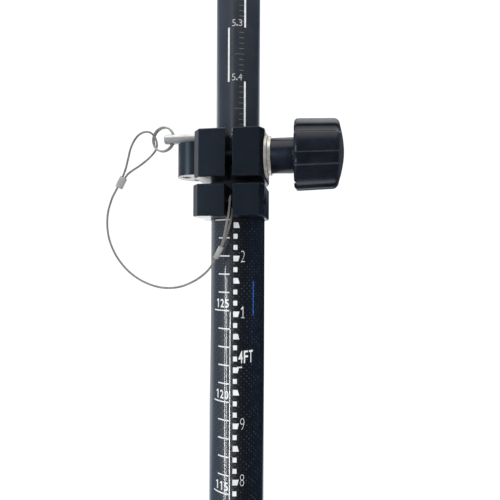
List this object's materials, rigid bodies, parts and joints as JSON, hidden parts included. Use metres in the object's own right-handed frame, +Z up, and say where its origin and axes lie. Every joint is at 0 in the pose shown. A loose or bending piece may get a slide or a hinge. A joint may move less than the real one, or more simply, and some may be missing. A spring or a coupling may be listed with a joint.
{
  "type": "prism pole",
  "caption": "Telescoping surveying prism pole: graduated tubes, split clamps with a lobed knob, lanyard locking pin, circular level, steel point and a threaded prism stud.",
  "frame": {"origin": "tip of the steel point, on the pole's axis", "axes": "+Z up the pole to the prism stud, -Y where the clamps' slots open, +X along the clamp knob's axis"},
  "size_m": [0.1396, 0.0564, 1.6904],
  "materials": {
    "tool_steel": "hardened steel, turned",
    "clear_aluminium": "clear anodised, turned",
    "carbon_tube": "clear-coated carbon fibre with white printed scales",
    "black_acetal": "machined acetal",
    "white_acetal": "machined acetal",
    "black_anodised": "satin black anodised aluminium",
    "black_steel": "black oxide",
    "vial_black": "black anodised",
    "vial_liquid": "tinted spirit",
    "vial_glass": "clear glass",
    "black_rubber": "moulded rubber",
    "zinc_steel": "zinc plated",
    "polished_steel": "polished stainless",
    "black_plastic": "moulded, slightly glossy",
    "ring_steel": "nickel plated spring wire",
    "crimp_aluminium": "crimped bare aluminium",
    "wire_rope": "stranded stainless wire",
    "black_tube": "satin black anodised tube with white printed scale"
  },
  "bodies": {
    "lower_pole": {"point_tip": "tool_steel", "shoe": "clear_aluminium", "lower_tube": "carbon_tube", "collet": "black_acetal", "lower_clamp": "black_anodised", "lower_clamp_screw": "black_steel", "upper_clamp": "black_anodised", "vial_case": "vial_black", "vial_liquid": "vial_liquid", "vial_glass": "vial_glass", "vial_pad": "black_rubber", "vial_screws": "black_steel", "clamp_ferrule": "crimp_aluminium", "lanyard": "wire_rope"},
    "inner_pole": {"inner_tube": "black_tube", "glide_bush": "white_acetal", "bush_circlip": "black_steel", "bottom_plug": "clear_aluminium", "plug_rivets": "crimp_aluminium", "top_adapter": "clear_aluminium", "adapter_rivets": "crimp_aluminium", "prism_stud": "tool_steel"},
    "knob_carrier": {"clamp_washer": "zinc_steel", "thrust_washer": "polished_steel"},
    "clamp_knob": {"knob": "black_plastic", "clamp_screw": "zinc_steel"},
    "locking_pin": {"lock_pin": "polished_steel", "split_ring": "ring_steel", "ring_ferrule": "crimp_aluminium"}
  },
  "joints": [
    {"name": "tube_slide", "type": "slide", "parent": "lower_pole", "child": "inner_pole", "axis": [0, 0, 1], "range_m": [-0.1524, 0.9144]},
    {"name": "pin_slide", "type": "slide", "parent": "lower_pole", "child": "locking_pin", "axis": [1, 0, 0], "range_m": [-0.03, 0.0025], "deforming": ["lanyard"]},
    {"name": "knob_travel", "type": "slide", "parent": "lower_pole", "child": "knob_carrier", "axis": [1, 0, 0], "range_m": [0, 0.00187]},
    {"name": "knob_turn", "type": "hinge", "parent": "knob_carrier", "child": "clamp_knob", "pos_m": [0.04, -0.0195, 1.3331], "axis": [1, 0, 0], "range_deg": [0, 540]}
  ],
  "couplings": [
    {"joint": "knob_turn", "follows": "knob_travel", "rad_per_m": 5026.5}
  ]
}
